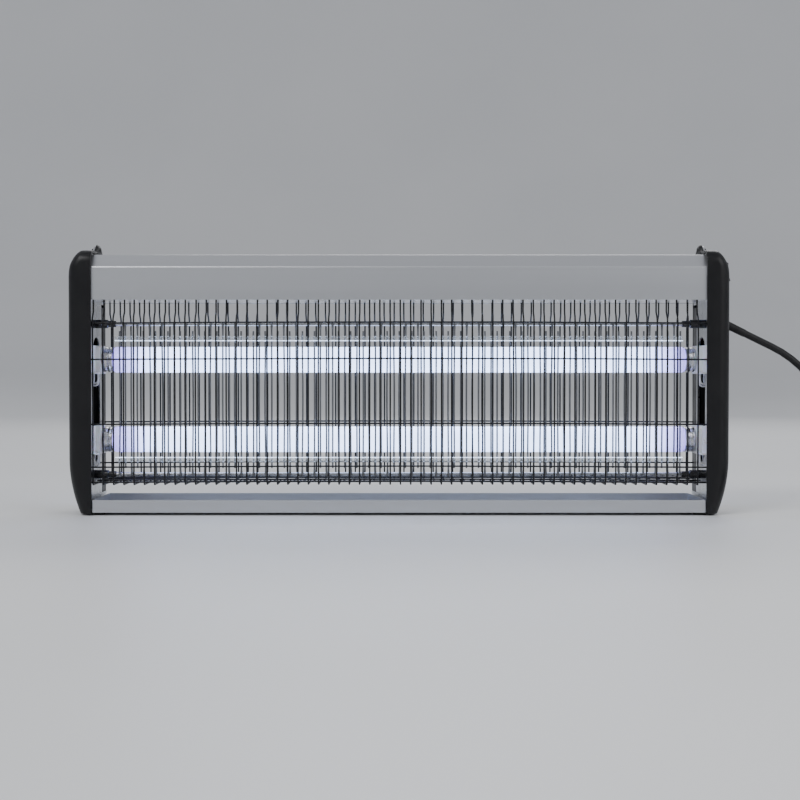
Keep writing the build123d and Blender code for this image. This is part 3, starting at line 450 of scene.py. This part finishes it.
def guard(name, side, first_x):
    """Bent uprights and lengthwise wires laid inside them, with a spot weld at each crossing."""
    wires = curve_object(name, "root", 3)
    out, neck = side * GUARD_Y, side * NECK_Y
    inside = out - side * LAID
    rails = [(inside, z * MM) for z in RAILS_Z]
    floor_wires = [(side * y * MM, FLOOR_Z + LAID) for y in FLOOR_WIRES_Y]
    for y, z in rails + floor_wires:
        line = []
        for i in range(-RAIL_STEPS, RAIL_STEPS + 1):
            share = i / RAIL_STEPS
            at_y = y + jitter(0.1 * MM)
            at_z = z + RAIL_BOW * (1 - share**2) + jitter(0.12 * MM)
            line.append((share * RAIL_END, at_y, at_z))
        add_wire(wires, line, WIRE_R)
    spots = []
    for i in range(GUARD_WIRES):
        x = first_x + PITCH * i
        lean = jitter(0.35 * MM)
        bow = RAIL_BOW * (1 - (x / RAIL_END) ** 2)
        under = FLOOR_Z + bow / 2
        add_wire(wires, [
            (x + lean, neck, 214.5 * MM), (x + lean, neck, 201 * MM), (x + lean, neck, 198 * MM),
            (x + lean / 2, (neck + 3 * out) / 4, 194 * MM), (x, out, 190 * MM), (x, out, 186 * MM),
            (x + jitter(0.2 * MM), out, 100 * MM), (x, out, under + BEND), (x, out, under),
            (x, out - side * BEND, under), (x, side * 1.2 * MM, under),
        ], WIRE_R)
        spots += [(x, (out + y) / 2, z + bow) for y, z in rails]
        spots += [(x, y, z + bow - LAID / 2) for y, z in floor_wires]

    def welds(bm):
        for spot in spots:
            blob(bm, spot, WELD_SIZE)

    joints = mesh_piece(name + "_welds", "root", welds)
    for piece in (wires, joints):
        piece.data.materials.append(M["guard_wire"])
    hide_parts(name.replace("_wires", ""))


HALF_RUN = PITCH * GUARD_WIRES / 2
guard("front_guard_wires", -1, 1.5 * MM - HALF_RUN)
guard("rear_guard_wires", 1, 5.1 * MM - HALF_RUN)

# ---- killing grid ----
GRID_Y = -20 * MM
ROD_R = 1.9 * MM
COMB_R = 0.85 * MM
COMB_PITCH = 12 * MM
COMB_Y = GRID_Y - ROD_R - COMB_R
SPACERS_Z = (53.6 * MM, 172.4 * MM)
ROD_END = 292 * MM
ROD_LENGTH = 2 * ROD_END
ROD_EDGE = 0.3 * MM
ROD_FORM = [
    (0, 0), (0, ROD_R - ROD_EDGE), (ROD_EDGE, ROD_R), (ROD_LENGTH - ROD_EDGE, ROD_R),
    (ROD_LENGTH, ROD_R - ROD_EDGE), (ROD_LENGTH, 0),
]
FLARE = [1.35, 1.5, 1.0, 1.0, 1.0, 1.0, 0.95]  # a comb wire swells at its weld and tapers at its tip
# Z of each rod, X of its first comb wire, how many it has, and Z of their tips.
COMBS = {
    "upper": (187.0 * MM, -269.3 * MM, 46, 45.0 * MM),
    "lower": (38.8 * MM, -275.3 * MM, 47, 180.0 * MM),
}


def electrode(row):
    """A rod with a comb of wires, each pressed and welded against the rod's front."""
    rod_z, first_x, count, tip_z = COMBS[row]
    comb = curve_object("comb_" + row, "root", 3)
    down = -1 if tip_z < rod_z else 1
    for i in range(count):
        x = first_x + COMB_PITCH * i
        bend = jitter(0.5 * MM)
        near, far = sorted(SPACERS_Z, key=lambda z: abs(z - rod_z))
        stations = [rod_z - down * 1.6 * MM, rod_z + down * 2 * MM, rod_z + down * 5 * MM, near,
                    (near + far) / 2, far, tip_z]
        bends = [0, 0, 0, 0, 2 * bend, 0, bend]
        line = [(x + b, COMB_Y, z) for b, z in zip(bends, stations)]
        add_wire(comb, line, COMB_R, swell=FLARE)
    rod_place = along_x(-ROD_END, GRID_Y, rod_z)
    rod = mesh_piece(f"comb_{row}_rod", "root", lambda bm: lathe(bm, ROD_FORM, rod_place, 24))
    comb.data.materials.append(M["grid_wire"])
    rod.data.materials.append(M["rod_metal"])
    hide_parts("electrode_" + row)


electrode("upper")
electrode("lower")

# A bead of clear cement holds each comb wire where it leaves a spacer on the side away from the tubes.
BEAD_Z = (51.3 * MM, 174.7 * MM)
BEAD_SIZE = (1.25 * MM, 1.25 * MM, 0.8 * MM)


def beads(bm):
    for _, first_x, count, _ in COMBS.values():
        for i in range(count):
            for z in BEAD_Z:
                blob(bm, (first_x + COMB_PITCH * i, COMB_Y, z), BEAD_SIZE)


spacer_beads = mesh_piece("spacer_beads", "root", beads)
spacer_beads.data.materials.append(M["clear_bead"])

# ---- lamp caps, holder collars and lead loops ----
# Distance from the middle and radius along a spun metal cap, with two crimped grooves.
SHELL = [
    (284.7, 11.6), (284.7, 12.5), (285.6, 12.6), (286.1, 12.2), (286.9, 12.2), (287.4, 12.6), (289.4, 12.6),
    (289.8, 12.35), (290.4, 12.35), (290.8, 12.6), (293.4, 12.55), (294.4, 12.2), (294.9, 11.4), (294.9, 0),
]
COLLAR = [(296.4, 9.5), (295.6, 9.5), (295.4, 9.8), (295.4, 11.7), (295.9, 12.3), (296.4, 12.3)]
SLOT_TURN = math.radians(9)
LOOP_R = 0.9 * MM
LOOP_TOP = 12.6 * MM       # below the tube's axis
LOOPS = ((-9, 10.5), (-4.5, 12.5))  # Y and drop
# X along a hanging loop of lead, and how far down it is as a share of the drop.
LOOP_FORM = [(299.4, 0), (299.2, 0.5), (299.8, 1), (303.4, 1.1), (307.2, 1), (307.6, 0.4), (307.4, 0)]
lead_loops = curve_object("lamp_lead_loops", "root", 3)
lead_loops.data.materials.append(M["lead_white"])
for row in ("upper", "lower"):
    low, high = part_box("lamp_glass_" + row)
    lamp_z = (low[2] + high[2]) / 2
    shells = mesh_piece("lamp_cap_shells_" + row, "lamp_" + row, lambda bm: [
        lathe(bm, [(a * MM, r * MM) for a, r in SHELL], along_x(0, 0, lamp_z, side)) for side in (-1, 1)])
    shells.data.materials.append(M["lamp_cap"])
    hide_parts("lamp_caps_" + row)
    collars = mesh_piece("holder_collars_" + row, "root", lambda bm: [
        lathe(bm, [(a * MM, r * MM) for a, r in COLLAR], along_x(0, 0, lamp_z, side), gap=SLOT_TURN)
        for side in (-1, 1)])
    collars.data.materials.append(M["holder_plastic"])
    top = lamp_z - LOOP_TOP
    for side in (-1, 1):
        for y, drop in LOOPS:
            y, drop = (y + jitter(0.6)) * MM, (drop + jitter(0.8)) * MM
            line = [(side * x * MM, y, top - share * drop) for x, share in LOOP_FORM]
            add_wire(lead_loops, line, LOOP_R, 6)

# ---- rocker marks ----
ROCKER_PIVOT = Vector((321.5, -10, 237)) * MM
ROCKER_TILT = math.radians(8)
FACE_SLOPE = math.atan2(1.4, 8.4)
MARK_OUT = 4.4 * MM        # from the pivot to the face under a mark
MARK_UP = 4.4 * MM
OFF_RING = [(-0.2, 1.55), (0.1, 1.6), (0.1, 2.0), (-0.2, 2.05)]
ON_BAR = (3.6 * MM, 0.45 * MM, 0.24 * MM)


def rocker_marks(bm):
    """The usual off ring and on bar, raised a little on the two halves of the rocker."""
    for half in (-1, 1):
        lean = Matrix.Rotation(-ROCKER_TILT, 4, "Y") @ Matrix.Translation((MARK_OUT, 0, half * MARK_UP))
        face = lean @ Matrix.Rotation(half * FACE_SLOPE, 4, "Y") @ Matrix.Rotation(math.pi / 2, 4, "Y")
        place = Matrix.Translation(ROCKER_PIVOT) @ face
        if half < 0:
            lathe(bm, [(a * MM, r * MM) for a, r in OFF_RING], place, 40)
        else:
            bmesh.ops.create_cube(bm, size=1, matrix=place @ Matrix.Diagonal((*ON_BAR, 1)))


marks = mesh_piece("rocker_marks", "rocker", rocker_marks)
marks.data.materials.append(M["mark_paint"])

# ---- strain relief, tie and plug ----
CORD_SLOPE = math.radians(26)
RELIEF_PLACE = Matrix.Translation(CORD_EXIT) @ Matrix.Rotation(math.pi / 2 + CORD_SLOPE, 4, "Y")
RELIEF = [
    (-6, 0), (-6, 4.6), (0, 4.5), (0.6, 4.3), (8, 4.05), (16, 3.9), (24.6, 3.8), (25.7, 3.65), (26, 3.3),
    (26, 0),
]


def relief_form(bm):
    lathe(bm, [(a * MM, r * MM) for a, r in RELIEF], RELIEF_PLACE)


strain_relief = mesh_piece("cord_boot", "root", relief_form)
strain_relief.data.materials.append(M["cord_sheath"])
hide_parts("strain_relief")

STRAP_SIDES = 56
STRAP_T = 0.55 * MM
STRAP_HALF = 2.5 * MM
STRAP_SQUARE = 0.5         # 1 is an ellipse, 0 a rectangle


def strap(bm):
    """A flat strap pulled round one side of the coil."""
    low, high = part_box("cord_tie")
    centre_x, centre_z = (low[0] + high[0]) / 2, (low[2] + high[2]) / 2
    reach_x, reach_z = (high[0] - low[0]) / 2, (high[2] - low[2]) / 2
    middle_y = (low[1] + high[1]) / 2
    rings = []
    for i in range(STRAP_SIDES):
        turn = 2 * math.pi * i / STRAP_SIDES
        c, sn = math.cos(turn), math.sin(turn)
        shape = [math.copysign(abs(v) ** STRAP_SQUARE, v) for v in (c, sn)]
        ring = []
        for inset, y in ((0, -STRAP_HALF), (0, STRAP_HALF), (STRAP_T, STRAP_HALF), (STRAP_T, -STRAP_HALF)):
            x = centre_x + shape[0] * (reach_x - inset)
            z = centre_z + shape[1] * (reach_z - inset)
            ring.append(bm.verts.new((x, middle_y + y, z)))
        rings.append(ring)
    for a, b in zip(rings, rings[1:] + rings[:1]):
        for k in range(4):
            bm.faces.new((a[k], a[(k + 1) % 4], b[(k + 1) % 4], b[k]))


tie = mesh_piece("coil_strap", "root", strap)
tie.data.materials.append(M["tie_plastic"])
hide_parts("cord_tie")

PLUG_R = 18.5 * MM
PLUG_SIDES = 96
NOTCH = 0.19
NOTCH_FLOOR = 16.0 * MM
NOTCH_BOTTOM = 8.6 * MM
plug_low, plug_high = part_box("plug_body")
plug_axis = Vector((plug_low[0] + PLUG_R, (plug_low[1] + plug_high[1]) / 2, 0))
# Height and radius of the plug's body, from the table up.
PLUG_FORM = [
    (0.0, 0), (0.0, 13.5), (0.6, 15.4), (2.0, 17.2), (4.2, 18.3), (6.0, 18.5), (8.5, 18.5), (8.7, 18.5),
    (12.0, 18.5), (12.4, 18.2), (13.0, 18.2), (13.4, 18.5), (20.8, 18.5), (21.6, 18.2), (22.0, 17.6),
    (22.0, 15.8), (21.4, 15.6), (21.4, 0),
]
BOOT = [
    (4, 6.8), (10, 6.6),
    (11, 6.0), (12.2, 6.0), (13.2, 6.3), (15, 6.1),
    (16, 5.5), (17.2, 5.5), (18.2, 5.8), (20, 5.6),
    (21, 5.0), (22.2, 5.0), (23.2, 5.3), (25, 5.1),
    (26, 4.6), (27.2, 4.6), (28.2, 4.9), (30, 4.7),
    (31, 4.3), (36, 4.1), (38.3, 4.0), (38.5, 3.4),
]


def plug_form(bm):
    """A round angled plug with a recessed face, side notches for its earth strips, and a ribbed boot."""
    rings = []
    for height, radius in PLUG_FORM:
        if radius == 0:
            rings.append([bm.verts.new(plug_axis + Vector((0, 0, height * MM)))])
            continue
        ring = []
        for i in range(PLUG_SIDES):
            turn = 2 * math.pi * i / PLUG_SIDES
            reach = radius * MM
            if abs(math.sin(turn)) < NOTCH and height * MM > NOTCH_BOTTOM:
                reach = min(reach, NOTCH_FLOOR)
            spot = Vector((reach * math.cos(turn), reach * math.sin(turn), height * MM))
            ring.append(bm.verts.new(plug_axis + spot))
        rings.append(ring)
    for a, b in zip(rings, rings[1:]):
        for i in range(PLUG_SIDES):
            join(bm, a, b, i, (i + 1) % PLUG_SIDES)
    lathe(bm, [(a * MM, r * MM) for a, r in BOOT], along_x(plug_axis.x, plug_axis.y, PLUG_CORD_Z))


# Centre and size of a strip's upright part, then of the part over the plug's face.
STRIP = (((16.3, 15.0), (0.9, 4.2, 11.0)), ((14.8, 21.2), (3.6, 4.2, 0.9)))
STRIP_EDGE = 0.25 * MM


def earth_strips(bm):
    """A bent metal strip in each side notch."""
    for side in (-1, 1):
        for (x, height), size in STRIP:
            centre = plug_axis + Vector((side * x, 0, height)) * MM
            place = Matrix.Translation(centre) @ Matrix.Diagonal((*(v * MM for v in size), 1))
            bmesh.ops.create_cube(bm, size=1, matrix=place)
    bmesh.ops.bevel(bm, geom=bm.edges[:], offset=STRIP_EDGE, segments=2, affect="EDGES")


plug = mesh_piece("plug_moulding", "root", plug_form)
plug.data.materials.append(M["plug_plastic"])
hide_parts("plug_body")
strips = mesh_piece("plug_earth_strips", "root", earth_strips)
strips.data.materials.append(M["pin_metal"])

# ---- studio ----
# Radius and height in metres.
FLOOR_RINGS = [
    (0.0, 0.0), (1.2, 0.0), (3.2, 0.0), (4.2, 0.12), (5.0, 0.5), (5.6, 1.3), (6.0, 2.6), (6.2, 4.2),
]


def bowl(bm):
    lathe(bm, [(z, r) for r, z in FLOOR_RINGS], Matrix.Identity(4), 96)


floor = mesh_piece("studio_floor", "root", bowl)
floor.parent = None
floor.data.materials.append(surface("studio_floor", (0.74, 0.75, 0.76), (0.78, 0.785, 0.79), (0.42, 0.5),
                                    patch=0.8, grain=0.004, depth=0.0))


def softbox(name, place, aim, size, watts):
    """A soft area light aimed at a point."""
    data = bpy.data.lights.new(name, "AREA")
    data.shape = "RECTANGLE"
    data.size, data.size_y = size
    data.energy = watts
    lamp = bpy.data.objects.new(name, data)
    bpy.context.scene.collection.objects.link(lamp)
    lamp.location = place
    lamp.rotation_euler = (Vector(aim) - Vector(place)).to_track_quat("-Z", "Y").to_euler()


softbox("key", (-1.5, -1.9, 2.1), (0, 0, 0.1), (1.6, 1.2), 42)
softbox("fill", (2.0, -1.6, 1.3), (0, 0, 0.12), (1.8, 1.4), 20)
softbox("back", (0.4, 2.2, 1.9), (0, 0, 0.15), (2.2, 1.0), 26)

world = bpy.data.worlds.new("studio")
bpy.context.scene.world = world
world.use_nodes = True
world.node_tree.nodes["Background"].inputs["Color"].default_value = (0.92, 0.94, 1.0, 1)
world.node_tree.nodes["Background"].inputs["Strength"].default_value = 0.55
